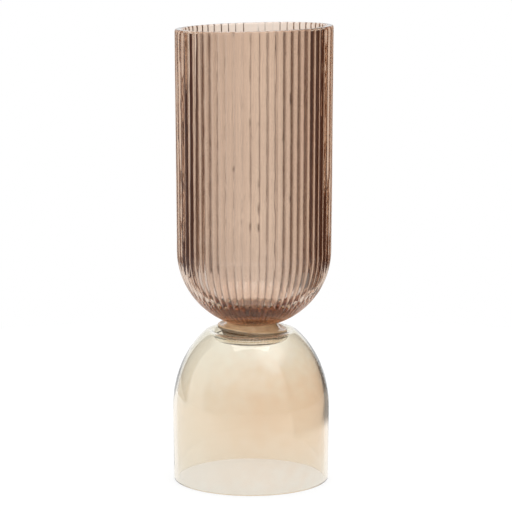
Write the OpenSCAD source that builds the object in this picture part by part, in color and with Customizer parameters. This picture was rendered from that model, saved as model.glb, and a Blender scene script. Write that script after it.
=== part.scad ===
/* [Overall] */
// Height from the table to the middle of the cup's rim
total_height = 290; // [275:1:305]
// Sideways set of each half from the centre line, since the halves are joined by hand
axis_offset = 1.0; // [0:0.1:1.5]

/* [Cup] */
// Outer diameter over the ribs at the rim
cup_rim_d = 100; // [96:0.5:104]
// Outer diameter over the ribs where the bowl begins
cup_shoulder_d = 98.4; // [95:0.2:102]
// Height of the centre of the round bowl
cup_bowl_z = 148.5; // [146:0.5:152]
// Wall thickness behind a groove
cup_wall = 3.0; // [2:0.1:3.3]
// Height of the inside floor
cup_floor_z = 110.5; // [108:0.5:113]
// Flat radius of the inside floor
cup_floor_r = 13; // [10:0.5:16]
// Radius of the spot that is fused to the collar
cup_contact_r = 15.8; // [15:0.1:17]

/* [Ribs] */
// Number of vertical ribs
rib_count = 60; // [48:1:66]
// Depth of the grooves between the ribs
rib_depth = 1.05; // [0.6:0.05:1.2]

/* [Rim] */
// Slant of the hand cut rim, in degrees, higher at +X
rim_slant = 1.5; // [0:0.1:2]
// Height of the fire polished edge
rim_round = 1.6; // [1:0.1:2]

/* [Collar] */
// Height of the flared lip's middle
lip_z = 98; // [97.5:0.1:98.5]
// Outer radius of the flared lip
lip_r = 22.5; // [21.8:0.1:23]
// Radius of the lip's rounded edge
lip_bead_r = 1.4; // [1.2:0.05:1.5]
// Radius of the solid core under the lip
core_r = 15; // [14:0.1:15.4]
// Slant of the whole collar, in degrees, lower at +X
collar_slant = 4.5; // [0:0.1:5]
// Outer radius of the upper turn of the wrapped trail
upper_trail_r = 20.8; // [19.5:0.1:21]
// Outer radius of the lower turn of the wrapped trail
lower_trail_r = 18.8; // [18:0.1:19.4]
// Thickness of a turn of the trail
trail_height = 2.6; // [2.2:0.1:2.8]
// Part of a circle that the lower turn covers before its cut end, in degrees
lower_trail_arc = 330; // [270:1:345]

/* [Foot] */
// Outer diameter at the table
foot_base_d = 99.5; // [97:0.5:101]
// Outer diameter where the dome is widest
foot_wide_d = 100.4; // [99:0.2:102]
// Height at which the dome is widest
foot_wide_z = 47; // [40:1:52]
// Height that the dome's curve would reach without its hollow crown
foot_curve_top_z = 107.8; // [106:0.2:109]
// Wall thickness
foot_wall = 2.4; // [2:0.1:3]
// Radius of the ridge around the hollow crown
ridge_r = 27; // [26.9:0.1:27.6]
// Radius of the rounding on top of that ridge
ridge_round = 4.2; // [3.8:0.1:4.3]
// Height of the floor of the hollow crown, which carries the collar
crown_floor_z = 91.3; // [91:0.1:91.8]

/* [Hidden] */
$fn = 128;
SEAT_LAND = 0.9;                  // width of the flat on which the foot stands
RIM_CHAMFER = 0.8;                // inside edge of the cup's rim
RIB_SAMPLES = [0, 0.16, 0.36, 0.64, 0.84];  // stations across one rib, from groove to groove
RIB_CREST_POWER = 0.7;            // below 1 the crests are broad and the grooves narrow
RIB_FADE = 0.3;                   // share of the groove's depth that is left under the bowl
BOWL_BANDS = 10;                  // rings of faces from the collar up to the shoulder
RIM_BEND = [0.2, 0.7];            // how far the rim's two upper rings are set in
RIM_BEND_DROP = 0.45;             // how far the first of them is below the top, as a share of rim_round
RIM_GROOVES = [0.6, 0.25];        // share of the groove's depth in them
LIP_WEB_GAP = 0.1;                // the trail starts this much above the lip's underside
FLARE_WIDTH = 2.4;                // level strip inside the lip's edge
FLARE_RISE = 2;                   // height of the slope at the cup's contact, above the lip's edge
FLARE_NECK = 1.2;                 // how far the slope leans in above the contact
TRAIL_START = -70;                // direction in which the lower turn begins, in degrees
RIDGE_LEAVE = 0.6;                // share of the ridge's rounding past its radius, where the curve is left
MARGIN = 5;                       // how far a cutter runs past what it cuts
FAR = 400;                        // larger than the whole vase

cup_rim_r = cup_rim_d / 2;
bowl_r = cup_shoulder_d / 2;
bowl_start = asin(cup_contact_r / bowl_r);
cup_base_z = cup_bowl_z - bowl_r * cos(bowl_start);
cavity_r = (cup_rim_r + bowl_r) / 2 - rib_depth - cup_wall;
cavity_round = cavity_r - cup_floor_r;
foot_base_r = foot_base_d / 2;
foot_wide_r = foot_wide_d / 2;
foot_edge = (foot_wall - SEAT_LAND) / 2;
// where the dome's curve is left for the ridge, and the direction square to the curve there
foot_rise = foot_curve_top_z - foot_wide_z;
leave_r = ridge_r + ridge_round * RIDGE_LEAVE;
leave_z = foot_wide_z + foot_rise * sqrt(1 - pow(leave_r / foot_wide_r, 2));
leave_slope = atan2((leave_z - foot_wide_z) / pow(foot_rise, 2), leave_r / pow(foot_wide_r, 2));
ridge_x = leave_r - ridge_round * cos(leave_slope);
ridge_z = leave_z - ridge_round * sin(leave_slope);
lip_web = lip_bead_r - LIP_WEB_GAP;  // underside of the lip below its middle
flare_r = lip_r - lip_bead_r;     // where the lip's level strip meets its rounded edge
flare_edge_z = lip_bead_r * 0.7;  // height of that strip
flare_top = 5;                    // how far the slope is carried up before the cup cuts it off

// Shape across one rib: 0 in a groove and 1 on the crest
function rib_wave(t) = pow(sin(180 * t), RIB_CREST_POWER);

// Each ring of the cup is [radius at the crests, height, groove depth, share of the rim's slant]
function bowl_ring(a) = [
  bowl_r * sin(a),
  cup_bowl_z - bowl_r * cos(a),
  rib_depth * (RIB_FADE + (1 - RIB_FADE) * sin(a)),
  0
];

cup_rings = concat(
  [for (i = [0 : BOWL_BANDS]) bowl_ring(bowl_start + (90 - bowl_start) * i / BOWL_BANDS)],
  [
    [cup_rim_r, total_height - rim_round, rib_depth, 1],
    [cup_rim_r - RIM_BEND[0], total_height - RIM_BEND_DROP * rim_round, RIM_GROOVES[0] * rib_depth, 1],
    [cup_rim_r - RIM_BEND[1], total_height, RIM_GROOVES[1] * rib_depth, 1]
  ]
);

samples = len(RIB_SAMPLES);
ring_size = rib_count * samples;

function ring_point(ring, k) =
  let (rib = floor(k / samples))
  let (t = RIB_SAMPLES[k - rib * samples])
  let (angle = 360 * (rib + 0.5 + t) / rib_count)
  let (r = ring[0] - ring[2] * (1 - rib_wave(t)))
  let (x = r * cos(angle))
  [x, r * sin(angle), ring[1] + ring[3] * x * tan(rim_slant)];

module ribbed_solid() {
  last = len(cup_rings) - 1;
  points = [for (ring = cup_rings) for (k = [0 : ring_size - 1]) ring_point(ring, k)];
  sides = [
    for (j = [0 : last - 1])
      for (k = [0 : ring_size - 1])
        let (a = j * ring_size + k)
        let (b = j * ring_size + (k + 1) % ring_size)
        each [[a, a + ring_size, b], [b, a + ring_size, b + ring_size]]
  ];
  floor_face = [[for (k = [0 : ring_size - 1]) k]];
  rim_face = [[for (k = [ring_size - 1 : -1 : 0]) last * ring_size + k]];
  polyhedron(points = points, faces = concat(sides, floor_face, rim_face));
}

// Outline of the cup's inside: flat floor, round corner and straight wall
module cavity_outline() {
  corner_z = cup_floor_z + cavity_round;
  translate([0, corner_z])
    square([cavity_r, total_height + MARGIN - corner_z]);
  translate([0, cup_floor_z])
    square([cup_floor_r, cavity_round + MARGIN]);
  intersection() {
    translate([cup_floor_r, corner_z])
      circle(cavity_round);
    translate([0, cup_floor_z - MARGIN])
      square([cavity_r + MARGIN, cavity_round + MARGIN]);
  }
}

module rim_chamfer_cutter() {
  mouth_r = cavity_r + RIM_CHAMFER;
  translate([0, 0, total_height])
    rotate([0, -rim_slant, 0])
      translate([0, 0, -MARGIN])
        cylinder(h = 2 * MARGIN, r1 = mouth_r - MARGIN, r2 = mouth_r + MARGIN);
}

module ribbed_cup() {
  color([0.62, 0.46, 0.38, 0.45])
    translate([axis_offset, 0, 0])
      difference() {
        ribbed_solid();
        rotate_extrude()
          cavity_outline();
        rim_chamfer_cutter();
      }
}

// Puts its children in the slanted frame of the collar
module in_collar() {
  translate([0, 0, lip_z])
    rotate([0, collar_slant, 0])
      children();
}

// The space between the crown of the foot and the base of the cup
module join_slab() {
  translate([-FAR / 2, -FAR / 2, crown_floor_z])
    cube([FAR, FAR, cup_base_z - crown_floor_z]);
}

module joining_bit() {
  color([0.74, 0.58, 0.42, 0.6])
    intersection() {
      join_slab();
      in_collar()
        rotate_extrude() {
          translate([0, -MARGIN - trail_height * 2])
            square([core_r, MARGIN + trail_height * 2]);
          polygon([
            [0, -lip_web],
            [lip_r - lip_bead_r, -lip_web],
            [flare_r, flare_edge_z],
            [flare_r - FLARE_WIDTH, flare_edge_z],
            [cup_contact_r, lip_bead_r + FLARE_RISE],
            [cup_contact_r - FLARE_NECK, flare_top],
            [0, flare_top]
          ]);
          translate([lip_r - lip_bead_r, 0])
            circle(lip_bead_r);
        }
    }
}

// One turn of the trail, from the core out to a rounded edge
module trail_turn(outer_r, top, arc) {
  half = trail_height / 2;
  rotate_extrude(angle = arc) {
    translate([core_r, top - trail_height])
      square([outer_r - half - core_r, trail_height]);
    translate([outer_r - half, top - half])
      circle(half);
  }
}

module trail_upper() {
  color([0.72, 0.56, 0.40, 0.6])
    intersection() {
      join_slab();
      in_collar()
        trail_turn(upper_trail_r, -lip_web, 360);
    }
}

module trail_lower() {
  color([0.70, 0.54, 0.38, 0.6])
    intersection() {
      join_slab();
      in_collar()
        rotate([0, 0, TRAIL_START])
          trail_turn(lower_trail_r, -lip_web - trail_height, lower_trail_arc);
    }
}

// Filled outline of the dome above its edge, set in by inset: 0 for the outside, the wall for the inside
module dome_outline(inset) {
  wide = foot_wide_r - inset;
  // the curve is scaled to pass exactly inset away from where the ridge begins
  near_r = leave_r - inset * cos(leave_slope);
  near_z = leave_z - inset * sin(leave_slope);
  rise = (near_z - foot_wide_z) / sqrt(1 - pow(near_r / wide, 2));
  foot_z = inset > 0 ? -MARGIN : foot_edge;
  polygon([
    [0, foot_z],
    [foot_base_r - inset, foot_z],
    [foot_base_r - inset, foot_edge],
    [wide, foot_wide_z],
    [0, foot_wide_z]
  ]);
  intersection() {
    translate([0, foot_wide_z])
      scale([wide, rise])
        circle(1);
    polygon([
      [0, foot_wide_z],
      [FAR, foot_wide_z],
      [ridge_x + FAR * cos(leave_slope), ridge_z + FAR * sin(leave_slope)],
      [ridge_x, ridge_z],
      [ridge_x, crown_floor_z - inset],
      [0, crown_floor_z - inset]
    ]);
  }
  translate([ridge_x - ridge_round + inset, foot_wide_z])
    square([ridge_round - inset, ridge_z - foot_wide_z]);
  translate([ridge_x, ridge_z])
    circle(ridge_round - inset);
}

// Rounded edge with a flat on which the foot stands
module edge_outline() {
  intersection() {
    union() {
      for (r = [foot_base_r - foot_edge, foot_base_r - foot_wall + foot_edge])
        translate([r, foot_edge])
          circle(foot_edge);
      translate([foot_base_r - foot_wall + foot_edge, 0])
        square([SEAT_LAND, foot_edge]);
    }
    square([FAR, foot_edge]);
  }
}

module dome_foot() {
  color([0.93, 0.84, 0.70, 0.35])
    translate([-axis_offset, 0, 0])
      rotate_extrude() {
        difference() {
          dome_outline(0);
          dome_outline(foot_wall);
        }
        edge_outline();
      }
}

ribbed_cup();
joining_bit();
trail_upper();
trail_lower();
dome_foot();
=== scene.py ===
import math
import random

import bpy
from mathutils import Matrix, Vector, noise


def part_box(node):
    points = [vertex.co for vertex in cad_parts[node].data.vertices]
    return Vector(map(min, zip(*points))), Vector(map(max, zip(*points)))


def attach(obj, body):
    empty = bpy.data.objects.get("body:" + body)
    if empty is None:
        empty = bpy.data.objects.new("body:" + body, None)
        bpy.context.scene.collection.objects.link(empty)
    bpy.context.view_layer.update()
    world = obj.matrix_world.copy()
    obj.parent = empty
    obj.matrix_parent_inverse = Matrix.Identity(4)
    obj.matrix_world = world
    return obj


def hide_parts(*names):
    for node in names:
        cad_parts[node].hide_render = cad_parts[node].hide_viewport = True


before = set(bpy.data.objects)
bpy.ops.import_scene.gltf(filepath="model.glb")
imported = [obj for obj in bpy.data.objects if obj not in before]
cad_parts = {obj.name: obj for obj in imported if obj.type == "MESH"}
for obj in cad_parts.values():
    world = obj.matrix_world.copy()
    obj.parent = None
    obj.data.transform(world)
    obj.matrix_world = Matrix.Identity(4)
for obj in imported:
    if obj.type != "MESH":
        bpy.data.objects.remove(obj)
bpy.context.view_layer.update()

MM = 0.001
SEED = 11
random.seed(SEED)

# The profile of the vase, in millimetres, as the CAD model has it
CUP_RIM_R, CUP_SHOULDER_R, BOWL_Z = 50.0, 49.2, 148.5
CUP_TOP_Z, RIM_SLANT = 290.0, math.radians(1.5)
CUP_CONTACT_R, CAVITY_R, FLOOR_Z, FLOOR_R = 15.8, 45.55, 110.5, 13.0
RIBS, RIB_DEPTH = 60, 1.05
LIP_Z, LIP_R, LIP_BEAD_R, CORE_R = 98.0, 22.5, 1.4, 15.0
COLLAR_SLANT = math.radians(4.5)
FOOT_BASE_R, FOOT_WIDE_R, FOOT_WIDE_Z, FOOT_CURVE_TOP_Z = 49.75, 50.2, 47.0, 107.8
FOOT_WALL, RIDGE_R, RIDGE_ROUND, CROWN_Z = 2.4, 27.0, 4.2, 91.3
GAP = 0.03                          # keeps touching pieces of glass from sharing a surface
EDGE_ROUND = 0.75                   # fire polished edge of the foot
RIDGE_LEAVE = 0.6                   # where the dome's curve meets its ridge, in ridge roundings
DOME_SIDES, COLLAR_SIDES, TRAIL_SIDES, TRAIL_STEP = 192, 160, 24, 2.5

cup_low, cup_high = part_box("ribbed_cup")
foot_low, foot_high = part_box("dome_foot")
CUP_X = (cup_low.x + cup_high.x) / 2 / MM
FOOT_X = (foot_low.x + foot_high.x) / 2 / MM
CUP_BASE_Z = cup_low.z / MM


# ---------------------------------------------------------------- mesh helpers

def smoothstep(low, high, value):
    t = min(max((value - low) / (high - low), 0.0), 1.0)
    return t * t * (3 - 2 * t)


def wobble(x, y, z, salt=0.0):
    """Smooth noise from -1 to 1 at a place given in its own units."""
    return noise.noise(Vector((x + salt, y - 0.37 * salt, z + 1.7 * salt)))


def enclosed_volume(mesh):
    """Signed volume inside a closed mesh: negative if its faces point inwards."""
    mesh.calc_loop_triangles()
    co = [v.co for v in mesh.vertices]
    return sum(co[a].dot(co[b].cross(co[c])) for a, b, c in (t.vertices for t in mesh.loop_triangles)) / 6


def skin(name, rings, cap_start=True, cap_end=True):
    """A mesh through rings of points, with each end closed by a fan."""
    size = len(rings[0])
    verts = [p for ring in rings for p in ring]
    faces = []
    for j in range(len(rings) - 1):
        for k in range(size):
            a, b = j * size + k, j * size + (k + 1) % size
            faces.append((a, b, b + size, a + size))
    for at, flip, wanted in ((0, True, cap_start), (len(rings) - 1, False, cap_end)):
        if not wanted:
            continue
        ring = rings[at]
        middle = sum((Vector(p) for p in ring), Vector()) / size
        verts.append(tuple(middle))
        hub = len(verts) - 1
        for k in range(size):
            a, b = at * size + k, at * size + (k + 1) % size
            faces.append((hub, b, a) if flip else (hub, a, b))
    mesh = bpy.data.meshes.new(name)
    mesh.from_pydata([tuple(v) for v in verts], [], faces)
    mesh.validate()
    if cap_start and cap_end and enclosed_volume(mesh) < 0:
        mesh.flip_normals()
    mesh.shade_smooth()
    piece = bpy.data.objects.new(name, mesh)
    bpy.context.scene.collection.objects.link(piece)
    return piece


def mark(piece, name, values):
    """Stores one number per point of the mesh, in the order of its rings, for the shader to read."""
    layer = piece.data.attributes.new(name, "FLOAT", "POINT")
    for i, value in enumerate(values):
        layer.data[i].value = value
    return piece


def arc(centre, radius, start, end, steps):
    """Points of a circle in the profile plane, angles in degrees from the +r axis."""
    out = []
    for i in range(steps + 1):
        a = math.radians(start + (end - start) * i / steps)
        out.append((centre[0] + radius * math.cos(a), centre[1] + radius * math.sin(a)))
    return out


def line(start, end, steps):
    """Points from start to end, without the start."""
    return [
        (start[0] + (end[0] - start[0]) * i / steps, start[1] + (end[1] - start[1]) * i / steps)
        for i in range(1, steps + 1)
    ]


# ---------------------------------------------------------------- ribbed cup

RIB_STATIONS = (0.0, 0.035, 0.08, 0.15, 0.25, 0.37, 0.5, 0.63, 0.75, 0.85, 0.92, 0.965)
PAINTED_SHADE_WIDTH = 0.20                  # half the width of a groove's line of painted shade, in rib widths
RIB_CREST, COSINE_SHARE = 2.1, 0.08   # a rib's section: near a parabola, with a little cosine


def rib_wave(t):
    """Height across one rib from groove to groove, 0 to 1."""
    crest = 1 - abs(2 * t - 1) ** RIB_CREST
    cosine = 0.5 - 0.5 * math.cos(2 * math.pi * t)
    return crest * (1 - COSINE_SHARE) + cosine * COSINE_SHARE


def cup_profile():
    """(radius at the crests, height, groove depth, share of the rim's slant, is outside)."""
    start = math.asin(CUP_CONTACT_R / CUP_SHOULDER_R)
    outside = []
    for i in range(34):
        a = start + (math.pi / 2 - start) * i / 33
        outside.append((CUP_SHOULDER_R * math.sin(a), BOWL_Z - CUP_SHOULDER_R * math.cos(a),
                        RIB_DEPTH * (0.3 + 0.7 * math.sin(a)), 0.0, True))
    edge_z = CUP_TOP_Z - 1.6
    for i in range(1, 57):
        f = i / 56
        outside.append((CUP_SHOULDER_R + (CUP_RIM_R - CUP_SHOULDER_R) * f,
                        BOWL_Z + (edge_z - BOWL_Z) * f, RIB_DEPTH, f, True))
    rim = [
        (CUP_RIM_R - 0.05, CUP_TOP_Z - 1.0, 0.75 * RIB_DEPTH, 1.0, True),
        (CUP_RIM_R - 0.25, CUP_TOP_Z - 0.5, 0.45 * RIB_DEPTH, 1.0, True),
        (CUP_RIM_R - 0.65, CUP_TOP_Z - 0.12, 0.2 * RIB_DEPTH, 1.0, True),
        (CUP_RIM_R - 1.3, CUP_TOP_Z, 0.05 * RIB_DEPTH, 1.0, True),
        (CAVITY_R + 1.1, CUP_TOP_Z - 0.05, 0.0, 1.0, False),
        (CAVITY_R + 0.5, CUP_TOP_Z - 0.3, 0.0, 1.0, False),
        (CAVITY_R + 0.12, CUP_TOP_Z - 0.9, 0.0, 1.0, False),
        (CAVITY_R, CUP_TOP_Z - 1.8, 0.0, 1.0, False),
    ]
    inside = []
    corner = CAVITY_R - FLOOR_R
    corner_z = FLOOR_Z + corner
    for i in range(1, 31):
        f = i / 30
        inside.append((CAVITY_R, CUP_TOP_Z - 1.8 + (corner_z - CUP_TOP_Z + 1.8) * f, 0.0, 1 - f, False))
    for i in range(1, 25):
        a = math.pi / 2 * i / 24
        inside.append((FLOOR_R + corner * math.cos(a), corner_z - corner * math.sin(a), 0.0, 0.0, False))
    for r in (9.5, 6.0, 3.0, 1.0):
        inside.append((r, FLOOR_Z - 0.012 * (FLOOR_R - r), 0.0, 0.0, False))
    return outside + rim + inside


def painted_groove_shade(t, rib, z):
    """How dark a point is, as painted shade standing in for the dark lines that the grooves refract: in
    lines down the bowl, in a few broken dashes above it, and faintly over the whole bowl.
    """
    near = max(0.0, 1 - min(t, 1 - t) / PAINTED_SHADE_WIDTH)
    drift = wobble(rib * 2.3, 5.1, z / 14, 41.0)
    bowl = 1 - smoothstep(126, 156, z)
    dash = smoothstep(0.42, 0.62, wobble(rib * 3.7, 1.3, z / 7, 57.0))
    between = 0.13 * bowl * smoothstep(108, 122, z)
    return max(near * min(max(bowl * (0.85 + 0.4 * drift), dash), 1.0), between)


def make_cup():
    depth_of = [1 + 0.16 * random.uniform(-1, 1) for _ in range(RIBS)]
    shift_of = [0.05 * random.uniform(-1, 1) for _ in range(RIBS)]
    rings, painted_shades = [], []
    for crest_r, z, depth, slant, is_outside in cup_profile():
        ring = []
        for rib in range(RIBS):
            for t in RIB_STATIONS:
                # each groove belongs half to the rib before it and half to the rib after it
                near = depth_of[rib] * (1 - t) + depth_of[(rib + 1) % RIBS] * t
                shift = shift_of[rib] * (1 - t) + shift_of[(rib + 1) % RIBS] * t
                angle = 2 * math.pi * (rib + t + 0.5 + shift) / RIBS
                c, s = math.cos(angle), math.sin(angle)
                slow = wobble(c * 1.1, s * 1.1, z / 60, 3.1)
                r = crest_r
                if is_outside:
                    streak = wobble(angle * RIBS / 6.3, 0.0, z / 9, 7.7)
                    deep = depth * near * (1 + 0.16 * slow + 0.22 * streak)
                    if depth > 0:
                        r -= deep * (1 - rib_wave(t))
                    r += 0.10 * slow * smoothstep(104, 125, z) * (1 - smoothstep(270, 288, z))
                else:
                    r += 0.16 * wobble(c * 1.6, s * 1.6, z / 45, 21.0) * smoothstep(112, 125, z)
                x = r * c
                ring.append(((x + CUP_X) * MM, r * s * MM, (z + slant * x * math.tan(RIM_SLANT)) * MM))
                # painted shade for each outside point, standing in for the dark lines the grooves refract
                painted_shades.append(painted_groove_shade(t, (rib + round(t)) % RIBS, z) if is_outside else 0.0)
        rings.append(ring)
    return mark(skin("cup_glass", rings), "painted_shade", painted_shades)


# ---------------------------------------------------------------- dome foot

def dome_profile(inset):
    """From the foot's edge up to the middle of the crown, set in by the wall thickness for the inside."""
    rise = FOOT_CURVE_TOP_Z - FOOT_WIDE_Z
    leave_r = RIDGE_R + RIDGE_ROUND * RIDGE_LEAVE
    leave_z = FOOT_WIDE_Z + rise * math.sqrt(1 - (leave_r / FOOT_WIDE_R) ** 2)
    slope = math.atan2((leave_z - FOOT_WIDE_Z) / rise ** 2, leave_r / FOOT_WIDE_R ** 2)
    ridge_x = leave_r - RIDGE_ROUND * math.cos(slope)
    ridge_z = leave_z - RIDGE_ROUND * math.sin(slope)
    near_r = leave_r - inset * math.cos(slope)
    near_z = leave_z - inset * math.sin(slope)
    wide = FOOT_WIDE_R - inset
    tall = (near_z - FOOT_WIDE_Z) / math.sqrt(1 - (near_r / wide) ** 2)
    points = line((FOOT_BASE_R - inset, EDGE_ROUND), (wide, FOOT_WIDE_Z), 16)
    last = math.acos(near_r / wide)
    for i in range(1, 33):
        a = last * i / 32
        points.append((wide * math.cos(a), FOOT_WIDE_Z + tall * math.sin(a)))
    ridge = RIDGE_ROUND - inset
    points += arc((ridge_x, ridge_z), ridge, math.degrees(slope), 180, 12)[1:]
    floor_z = CROWN_Z - inset
    bend = 2.2 if inset == 0 else 3.2
    wall_r = ridge_x - ridge
    points += line((wall_r, ridge_z), (wall_r, floor_z + bend), 4)
    points += arc((wall_r - bend, floor_z + bend), bend, 0, -90, 8)[1:]
    for r in (15.5, 11.0, 7.0, 3.5, 1.0):
        points.append((r, floor_z))
    return points


CROWN_THINNING = 0.5                # the blown wall is thinnest at the crown


def make_dome():
    outside = dome_profile(0)
    inside = []
    for (out_r, out_z), (in_r, in_z) in zip(outside, dome_profile(FOOT_WALL)):
        thick = 1 - CROWN_THINNING * smoothstep(55, 92, out_z)
        inside.append((out_r + (in_r - out_r) * thick, out_z + (in_z - out_z) * thick))
    inner_r = FOOT_BASE_R - FOOT_WALL
    edge = EDGE_ROUND
    lip = arc((inner_r + edge, edge), edge, 180, 270, 6)
    lip += arc((FOOT_BASE_R - edge, edge), edge, 270, 360, 6)
    profile = [(r, z, False) for r, z in reversed(inside)]
    profile += [(r, z, None) for r, z in lip]
    profile += [(r, z, True) for r, z in outside]
    rings = []
    for r, z, side in profile:
        ring = []
        for k in range(DOME_SIDES):
            a = 2 * math.pi * k / DOME_SIDES
            c, s = math.cos(a), math.sin(a)
            fade = smoothstep(0.5, 12, z) * smoothstep(18, 30, r)
            out = 0.0
            if side is not None:
                salt = 40.0 if side else 55.0
                out = 0.10 * wobble(c * 1.3, s * 1.3, z / 40, salt) * fade
            ring.append((((r + out) * c + FOOT_X) * MM, (r + out) * s * MM, z * MM))
        rings.append(ring)
    return skin("foot_glass", rings)


# ---------------------------------------------------------------- collar

collar_frame = Matrix.Translation((0, 0, LIP_Z)) @ Matrix.Rotation(COLLAR_SLANT, 4, "Y")
BIT_BOTTOM_Z, BIT_TOP_Z = CROWN_Z + GAP, CUP_BASE_Z - GAP


def in_collar(x, y, z):
    """A point of the slanted collar in the vase's frame, in metres, kept between the crown and the cup."""
    p = collar_frame @ Vector((x, y, z))
    p.z = min(max(p.z, BIT_BOTTOM_Z), BIT_TOP_Z)
    return tuple(p * MM)


def make_bit():
    bead = LIP_BEAD_R
    profile = [(1.0, -9), (8.0, -9), (CORE_R - 0.6, -9)]
    profile += line((CORE_R - 0.6, -9), (CORE_R - 0.2, -2.6), 6)
    profile += [(CORE_R + 0.6, -1.7), (CORE_R + 2.2, -1.35)]
    profile += line((CORE_R + 2.2, -1.35), (LIP_R - bead, -bead + 0.05), 3)
    profile += arc((LIP_R - bead, 0), bead, -80, 110, 14)
    profile += [(LIP_R - 2.6, 0.75), (LIP_R - 3.8, 0.85), (LIP_R - 5.0, 1.6), (CUP_CONTACT_R + 0.6, 3.0)]
    profile += [(CUP_CONTACT_R - 0.3, 4.2), (CUP_CONTACT_R - 1.0, 6.0), (10, 6.0), (5, 6.0), (1, 6.0)]
    rings, painted_top_light = [], []
    for r, z in profile:
        ring = []
        for k in range(COLLAR_SIDES):
            a = 2 * math.pi * k / COLLAR_SIDES
            c, s = math.cos(a), math.sin(a)
            amount = smoothstep(12, 18, r)
            wave = wobble(c * 1.4, s * 1.4, z / 9, 70.0)
            ripple = wobble(c * 5, s * 5, z / 3, 80.0)
            dr = amount * (0.45 * wave + 0.14 * ripple)
            dz = amount * (0.35 * wobble(c * 1.2, s * 1.2, 0, 90.0) + 0.08 * ripple)
            ring.append(in_collar((r + dr) * c, (r + dr) * s, z + dz))
            # marks the lip's top face for painted light: a lighter tint where the overhead light falls
            painted_top_light.append(smoothstep(0.3, 0.8, z) if z < 5 else 0.0)
        rings.append(ring)
    return mark(skin("collar_bit", rings), "painted_top_light", painted_top_light)


def make_trail(name, start, turn, path_r, path_z, half_wide, half_high, salt):
    """A hand laid trail: an oval thread from start round the core by turn, in degrees."""
    steps = int(turn / TRAIL_STEP)
    rings = []
    for i in range(steps + 1):
        f = i / steps
        a = math.radians(start + turn * f)
        c, s = math.cos(a), math.sin(a)
        taper = 1.0 - 0.55 * (1 - smoothstep(0.0, 0.05, f)) - 0.25 * smoothstep(0.97, 1.0, f)
        wide = half_wide * taper * (1 + 0.14 * wobble(c * 2, s * 2, 3 * f, salt))
        high = half_high * taper * (1 + 0.12 * wobble(c * 3, s * 3, 3 * f, salt + 5))
        r0 = path_r(f) + 0.35 * wobble(c * 1.5, s * 1.5, f, salt + 9)
        z0 = path_z(f) + 0.22 * wobble(c * 1.5, s * 1.5, f, salt + 13)
        ring = []
        for k in range(TRAIL_SIDES):
            b = 2 * math.pi * k / TRAIL_SIDES
            # fine wrinkles run along the thread where it was pulled while stiff
            crease = 0.10 * math.sin(5 * b + 2.2 * wobble(0, 0, 6 * f, salt)) + 0.05 * math.sin(9 * b)
            rr = r0 + wide * (1 + crease) * math.cos(b)
            zz = z0 + high * (1 + crease) * math.sin(b)
            ring.append(in_collar(rr * c, rr * s, zz))
        rings.append(ring)
    return skin(name, rings)


# ---------------------------------------------------------------- materials

GLASS_IOR, RIPPLE_HEIGHT = 1.47, 0.001


def glass(name, tint, absorb_colour, absorb_density, ripple, ripple_size, stretch, roughness, clear=1.0):
    """Coloured glass: its colour is partly in its skin and partly in its depth, with faint blown ripples."""
    mat = bpy.data.materials.new(name)
    mat.use_nodes = True
    nodes, links = mat.node_tree.nodes, mat.node_tree.links
    nodes.clear()
    out = nodes.new("ShaderNodeOutputMaterial")
    shader = nodes.new("ShaderNodeBsdfPrincipled")
    shader.inputs["Transmission Weight"].default_value = clear
    shader.inputs["IOR"].default_value = GLASS_IOR
    shader.inputs["Roughness"].default_value = roughness
    place = nodes.new("ShaderNodeTexCoord")
    scaled = nodes.new("ShaderNodeMapping")
    scaled.inputs["Scale"].default_value = stretch
    links.new(place.outputs["Object"], scaled.inputs["Vector"])
    streaks = nodes.new("ShaderNodeTexNoise")
    streaks.inputs["Scale"].default_value = ripple_size
    streaks.inputs["Detail"].default_value = 3.0
    links.new(scaled.outputs["Vector"], streaks.inputs["Vector"])
    tone = nodes.new("ShaderNodeValToRGB")
    tone.color_ramp.elements[0].position = 0.3
    tone.color_ramp.elements[0].color = (*tint[0], 1)
    tone.color_ramp.elements[1].position = 0.7
    tone.color_ramp.elements[1].color = (*tint[1], 1)
    links.new(streaks.outputs["Fac"], tone.inputs["Fac"])
    links.new(tone.outputs["Color"], shader.inputs["Base Color"])
    bump = nodes.new("ShaderNodeBump")
    bump.inputs["Strength"].default_value = ripple
    bump.inputs["Distance"].default_value = RIPPLE_HEIGHT
    links.new(streaks.outputs["Fac"], bump.inputs["Height"])
    links.new(bump.outputs["Normal"], shader.inputs["Normal"])
    depth = nodes.new("ShaderNodeVolumeAbsorption")
    depth.inputs["Color"].default_value = (*absorb_colour, 1)
    depth.inputs["Density"].default_value = absorb_density
    links.new(shader.outputs["BSDF"], out.inputs["Surface"])
    links.new(depth.outputs["Volume"], out.inputs["Volume"])
    return mat


smoked = glass("smoked_glass", ((0.90, 0.80, 0.72), (0.93, 0.84, 0.765)),
               (0.62, 0.31, 0.04), 50.0, 0.10, 60.0, (1, 1, 0.06), 0.0)
amber = glass("amber_glass", ((0.66, 0.47, 0.29), (0.86, 0.68, 0.48)),
              (0.70, 0.45, 0.15), 20.0, 0.30, 160.0, (1, 1, 2.5), 0.02, 0.6)
champagne = glass("champagne_glass", ((0.875, 0.845, 0.76), (0.895, 0.885, 0.82)),
                  (0.80, 0.60, 0.30), 14.0, 0.05, 22.0, (1, 1, 0.7), 0.0)


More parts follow.
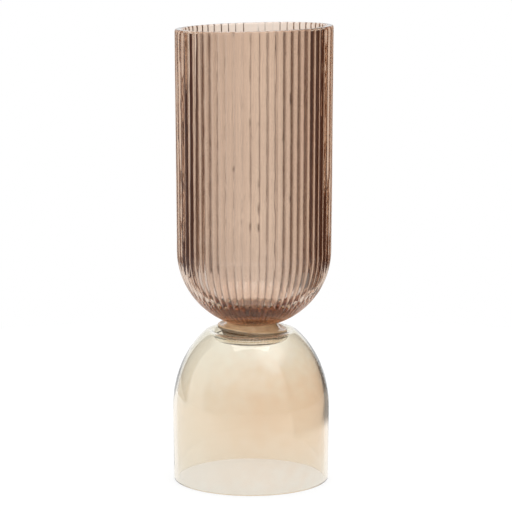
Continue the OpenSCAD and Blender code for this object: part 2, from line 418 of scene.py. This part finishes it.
def add_marked(mat, name, colour, clearer=0.0):
    """Multiplies the tint by a colour, and changes the clearness, where the points are marked."""
    nodes, links = mat.node_tree.nodes, mat.node_tree.links
    shader = nodes["Principled BSDF"]
    plain = shader.inputs["Base Color"].links[0].from_socket
    marks = nodes.new("ShaderNodeAttribute")
    marks.attribute_name = name
    mix = nodes.new("ShaderNodeMix")
    mix.data_type = "RGBA"
    mix.blend_type = "MULTIPLY"
    links.new(marks.outputs["Fac"], mix.inputs["Factor"])
    links.new(plain, mix.inputs["A"])
    mix.inputs["B"].default_value = (*colour, 1)
    links.new(mix.outputs["Result"], shader.inputs["Base Color"])
    if clearer:
        clear = nodes.new("ShaderNodeMath")
        clear.operation = "MULTIPLY_ADD"
        links.new(marks.outputs["Fac"], clear.inputs[0])
        clear.inputs[1].default_value = clearer
        clear.inputs[2].default_value = shader.inputs["Transmission Weight"].default_value
        links.new(clear.outputs[0], shader.inputs["Transmission Weight"])


WARM_BAND_TINT, WARM_BAND_TOP = (0.865, 0.745, 0.615, 1), 0.115
WARM_BAND_DRIFT, WARM_BAND_LEAN = 0.03, -0.15    # how far noise and the distance to the right shift the band
WARM_BAND_STOPS = ((0.35, 0.8), (0.55, 1.0), (0.85, 0.15))
# how the warm band fades on the left, where the paler glass is painted sheen
PAINTED_SHEEN_SIDE = (("From Min", -0.048), ("From Max", 0.005), ("To Min", 0.35), ("To Max", 1.0))


def add_warm_band_and_painted_sheen(mat):
    """Warms the glass around the middle of the dome and leaves it pale above, below and on the left: the
    pale top and left are painted sheen.
    """
    nodes, links = mat.node_tree.nodes, mat.node_tree.links
    shader = nodes["Principled BSDF"]
    plain = shader.inputs["Base Color"].links[0].from_socket
    place = nodes.new("ShaderNodeTexCoord")
    split = nodes.new("ShaderNodeSeparateXYZ")
    links.new(place.outputs["Object"], split.inputs[0])
    drift = nodes.new("ShaderNodeTexNoise")
    drift.inputs["Scale"].default_value = 14.0
    drift.inputs["Detail"].default_value = 1.0
    height = nodes.new("ShaderNodeMath")
    height.operation = "MULTIPLY_ADD"
    links.new(drift.outputs["Fac"], height.inputs[0])
    height.inputs[1].default_value = WARM_BAND_DRIFT
    links.new(split.outputs["Z"], height.inputs[2])
    across = nodes.new("ShaderNodeMath")
    across.operation = "MULTIPLY_ADD"
    links.new(split.outputs["X"], across.inputs[0])
    across.inputs[1].default_value = WARM_BAND_LEAN
    links.new(height.outputs[0], across.inputs[2])
    band = nodes.new("ShaderNodeValToRGB")
    band.color_ramp.interpolation = "EASE"
    stops = band.color_ramp.elements
    stops[0].position, stops[0].color = 0.0, (0.25, 0.25, 0.25, 1)
    stops[1].position, stops[1].color = 1.0, (0.0, 0.0, 0.0, 1)
    for at, level in WARM_BAND_STOPS:
        stop = stops.new(at)
        stop.color = (level, level, level, 1)
    scaled = nodes.new("ShaderNodeMath")
    scaled.operation = "MULTIPLY"
    scaled.inputs[1].default_value = 1 / WARM_BAND_TOP
    links.new(across.outputs[0], scaled.inputs[0])
    links.new(scaled.outputs[0], band.inputs["Fac"])
    side = nodes.new("ShaderNodeMapRange")
    for key, number in PAINTED_SHEEN_SIDE:
        side.inputs[key].default_value = number
    links.new(split.outputs["X"], side.inputs["Value"])
    amount = nodes.new("ShaderNodeMath")
    amount.operation = "MULTIPLY"
    links.new(band.outputs["Color"], amount.inputs[0])
    links.new(side.outputs["Result"], amount.inputs[1])
    mix = nodes.new("ShaderNodeMix")
    mix.data_type = "RGBA"
    links.new(amount.outputs[0], mix.inputs["Factor"])
    links.new(plain, mix.inputs["A"])
    mix.inputs["B"].default_value = WARM_BAND_TINT
    links.new(mix.outputs["Result"], shader.inputs["Base Color"])


# warm band round the dome's middle; its pale top and left are painted sheen
add_warm_band_and_painted_sheen(champagne)
# darkens the smoked glass where points are marked: painted shade in the grooves and over the bowl
add_marked(smoked, "painted_shade", (0.12, 0.07, 0.05))
# on the lip's top face: a lighter tint as painted light from overhead, and less clear glass
add_marked(amber, "painted_top_light", (1.3, 1.27, 1.15), -0.55)

cup = make_cup()
dome = make_dome()
bit = make_bit()
upper = make_trail("trail_first_turn", -95, 352, lambda f: 18.6 - 0.3 * f, lambda f: -2.55 - 0.35 * f,
                   2.0, 1.25, 100.0)
lower = make_trail("trail_last_turn", -100, 322, lambda f: 16.6 + 0.8 * f, lambda f: -5.0 + 0.25 * f,
                   1.7, 1.25, 130.0)

for piece, node, slot, mat in (
    (cup, "ribbed_cup", "smoked_glass", smoked),
    (dome, "dome_foot", "champagne_glass", champagne),
    (bit, "joining_bit", "amber_glass", amber),
    (upper, "trail_upper", "amber_glass", amber),
    (lower, "trail_lower", "amber_glass", amber),
):
    piece.data.materials.append(mat)
    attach(piece, "root")
    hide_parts(node)


# ---------------------------------------------------------------- studio

STAGE_R, STAGE_GLOW = 0.55, 0.80
STAGE_RINGS, STAGE_SIDES, STAGE_Z = (0.02, 0.1, 0.25, 0.4, STAGE_R), 96, -0.00005
BRIGHT, TOP_BRIGHT, FRONT_DIM = 1.0, 1.35, 0.35    # level of the tent, overhead, behind the camera
FLAGS = ((26.0, 122.0), (-70.0, -35.0))            # dark cards, azimuths from +Y towards +X, degrees
FLAG_COLOUR, FLAG_SOFT = (0.08, 0.033, 0.02), 1.5
FLAG_LOW, FLAG_HIGH, FLAG_FADE = -17.0, 40.0, 8.0  # their elevations, and how their top edge fades
# Only light on its way through the glass sees these parts of the floor dark
FLOOR_FLAGS, FLOOR_FLAG_R, FLOOR_FLAG_EDGE, FLOOR_DARK = ((28.0, 122.0),), 0.18, 0.02, 0.95
KEY_AIM, KEY_LEVEL, KEY_INNER, KEY_OUTER = (0.472, -0.317, 0.823), 1.3, 3.0, 30.0    # soft lamp


class Graph:
    """Short names for the few nodes that the studio's two node trees are made of."""

    def __init__(self, tree):
        self.nodes, self.links = tree.nodes, tree.links

    def math(self, kind, a, b=None, c=None):
        node = self.nodes.new("ShaderNodeMath")
        node.operation = kind
        for i, value in enumerate((a, b, c)):
            if value is None:
                continue
            if isinstance(value, (int, float)):
                node.inputs[i].default_value = value
            else:
                self.links.new(value, node.inputs[i])
        return node.outputs[0]

    def ramp(self, value, low, high, at_low=0.0, at_high=1.0):
        node = self.nodes.new("ShaderNodeMapRange")
        node.interpolation_type = "SMOOTHSTEP"
        for key, number in (("From Min", low), ("From Max", high), ("To Min", at_low), ("To Max", at_high)):
            node.inputs[key].default_value = number
        self.links.new(value, node.inputs["Value"])
        return node.outputs["Result"]

    def place(self, kind):
        where = self.nodes.new("ShaderNodeTexCoord")
        split = self.nodes.new("ShaderNodeSeparateXYZ")
        self.links.new(where.outputs[kind], split.inputs[0])
        return where.outputs[kind], split.outputs

    def degrees(self, kind, a, b=None):
        return self.math("MULTIPLY", self.math(kind, a, b), 180 / math.pi)

    def flagged(self, azimuth, flags, band):
        total = 0.0
        for start, end in flags:
            inside = self.math("MULTIPLY", self.ramp(azimuth, start - FLAG_SOFT, start + FLAG_SOFT),
                               self.ramp(azimuth, end - FLAG_SOFT, end + FLAG_SOFT, 1.0, 0.0))
            total = self.math("MULTIPLY_ADD", inside, band, total)
        return total


def make_floor():
    """Pale round floor, white to the camera."""
    rings = []
    for r in STAGE_RINGS:
        ring = []
        for k in range(STAGE_SIDES):
            a = 2 * math.pi * k / STAGE_SIDES
            ring.append((r * math.cos(a), r * math.sin(a), STAGE_Z))
        rings.append(ring)
    floor = skin("floor", rings, cap_end=False)
    mat = bpy.data.materials.new("floor_white")
    mat.use_nodes = True
    nodes, links = mat.node_tree.nodes, mat.node_tree.links
    shader = nodes["Principled BSDF"]
    shader.inputs["Roughness"].default_value = 0.9
    shader.inputs["Specular IOR Level"].default_value = 0.1
    shader.inputs["Emission Color"].default_value = (1, 1, 1, 1)
    graph = Graph(mat.node_tree)
    _, (x, y, _) = graph.place("Object")
    reach = graph.math("SQRT", graph.math("MULTIPLY_ADD", x, x, graph.math("MULTIPLY", y, y)))
    band = graph.ramp(reach, FLOOR_FLAG_R - FLOOR_FLAG_EDGE, FLOOR_FLAG_R + FLOOR_FLAG_EDGE)
    flagged = graph.flagged(graph.degrees("ARCTAN2", x, y), FLOOR_FLAGS, band)
    front = graph.ramp(y, -0.32, -0.10, 1.0 - FRONT_DIM, 0.0)
    dark = graph.math("MAXIMUM", flagged, front)
    path = nodes.new("ShaderNodeLightPath")
    unseen = graph.math("SUBTRACT", 1.0, path.outputs["Is Camera Ray"])
    dimmed = graph.math("MULTIPLY", dark, unseen)
    glow = graph.math("MULTIPLY_ADD", dimmed, -FLOOR_DARK * STAGE_GLOW, STAGE_GLOW)
    links.new(glow, shader.inputs["Emission Strength"])
    grain = nodes.new("ShaderNodeTexNoise")
    grain.inputs["Scale"].default_value = 8.0
    tone = nodes.new("ShaderNodeValToRGB")
    tone.color_ramp.elements[0].color = (0.17, 0.17, 0.17, 1)
    tone.color_ramp.elements[1].color = (0.19, 0.19, 0.19, 1)
    links.new(grain.outputs["Fac"], tone.inputs["Fac"])
    links.new(tone.outputs["Color"], shader.inputs["Base Color"])
    floor.data.materials.append(mat)


def make_tent():
    """White tent with dark cards either side, so that the grooves of the glass show dark."""
    world = bpy.data.worlds.new("tent")
    bpy.context.scene.world = world
    world.use_nodes = True
    nodes, links = world.node_tree.nodes, world.node_tree.links
    nodes.clear()
    graph = Graph(world.node_tree)
    math_node, ramp = graph.math, graph.ramp
    way, (x, y, z) = graph.place("Generated")
    height = graph.degrees("ARCSINE", z)
    band = math_node("MULTIPLY", ramp(height, FLAG_LOW - FLAG_SOFT, FLAG_LOW + FLAG_SOFT),
                     ramp(height, FLAG_HIGH - FLAG_FADE, FLAG_HIGH + FLAG_FADE, 1.0, 0.0))
    flagged = graph.flagged(graph.degrees("ARCTAN2", x, y), FLAGS, band)
    level = ramp(height, 35, 65, BRIGHT, TOP_BRIGHT)
    in_front = math_node("MULTIPLY", ramp(height, 8, 28, 1.0, 0.0), ramp(height, -13, -9))
    behind_camera = math_node("MULTIPLY", ramp(y, -0.35, -0.1, 1.0, 0.0), in_front)
    level = math_node("MULTIPLY", level, math_node("MULTIPLY_ADD", behind_camera, FRONT_DIM - 1, 1.0))
    aim = nodes.new("ShaderNodeVectorMath")
    aim.operation = "DOT_PRODUCT"
    links.new(way, aim.inputs[0])
    aim.inputs[1].default_value = Vector(KEY_AIM).normalized()
    outer, inner = (math.cos(math.radians(angle)) for angle in (KEY_OUTER, KEY_INNER))
    glow = ramp(aim.outputs["Value"], outer, inner)
    level = math_node("MULTIPLY_ADD", glow, KEY_LEVEL, level)
    tint = nodes.new("ShaderNodeMix")
    tint.data_type = "RGBA"
    tint.inputs["A"].default_value = (1, 1, 1, 1)
    tint.inputs["B"].default_value = (*FLAG_COLOUR, 1)
    links.new(flagged, tint.inputs["Factor"])
    tent = nodes.new("ShaderNodeBackground")
    links.new(tint.outputs["Result"], tent.inputs["Color"])
    links.new(level, tent.inputs["Strength"])
    seen = nodes.new("ShaderNodeBackground")
    seen.inputs["Color"].default_value = (1, 1, 1, 1)
    path = nodes.new("ShaderNodeLightPath")
    mix = nodes.new("ShaderNodeMixShader")
    links.new(path.outputs["Is Camera Ray"], mix.inputs["Fac"])
    links.new(tent.outputs[0], mix.inputs[1])
    links.new(seen.outputs[0], mix.inputs[2])
    out = nodes.new("ShaderNodeOutputWorld")
    links.new(mix.outputs[0], out.inputs["Surface"])


def add_softbox(name, place, aim, size, power):
    light = bpy.data.lights.new(name, "AREA")
    light.shape = "RECTANGLE"
    light.size, light.size_y = size
    light.energy = power
    lamp = bpy.data.objects.new(name, light)
    bpy.context.scene.collection.objects.link(lamp)
    lamp.location = place
    lamp.rotation_mode = "QUATERNION"
    lamp.rotation_quaternion = (Vector(aim) - Vector(place)).to_track_quat("-Z", "Y")


make_floor()
make_tent()
add_softbox("overhead", (0.0, 0.1, 1.3), (0.0, 0.0, 0.1), (1.2, 1.2), 9.0)

CAMERA_DISTANCE, CAMERA_HEIGHT, CAMERA_TILT, CAMERA_LENS = 1.456, 0.376, 9.04, 162.7
camera_data = bpy.data.cameras.new("camera")
camera_data.lens = CAMERA_LENS
camera_data.sensor_width = 36.0
camera_data.clip_start, camera_data.clip_end = 0.05, 50.0
camera = bpy.data.objects.new("camera", camera_data)
bpy.context.scene.collection.objects.link(camera)
camera.location = (0.0022, -CAMERA_DISTANCE, CAMERA_HEIGHT)
camera.rotation_euler = (math.radians(90 - CAMERA_TILT), 0.0, 0.0)
bpy.context.scene.camera = camera

scene = bpy.context.scene
scene.view_settings.view_transform = "Standard"
scene.cycles.max_bounces = 24
scene.cycles.transmission_bounces = 24
scene.cycles.glossy_bounces = 12
scene.cycles.use_denoising = True
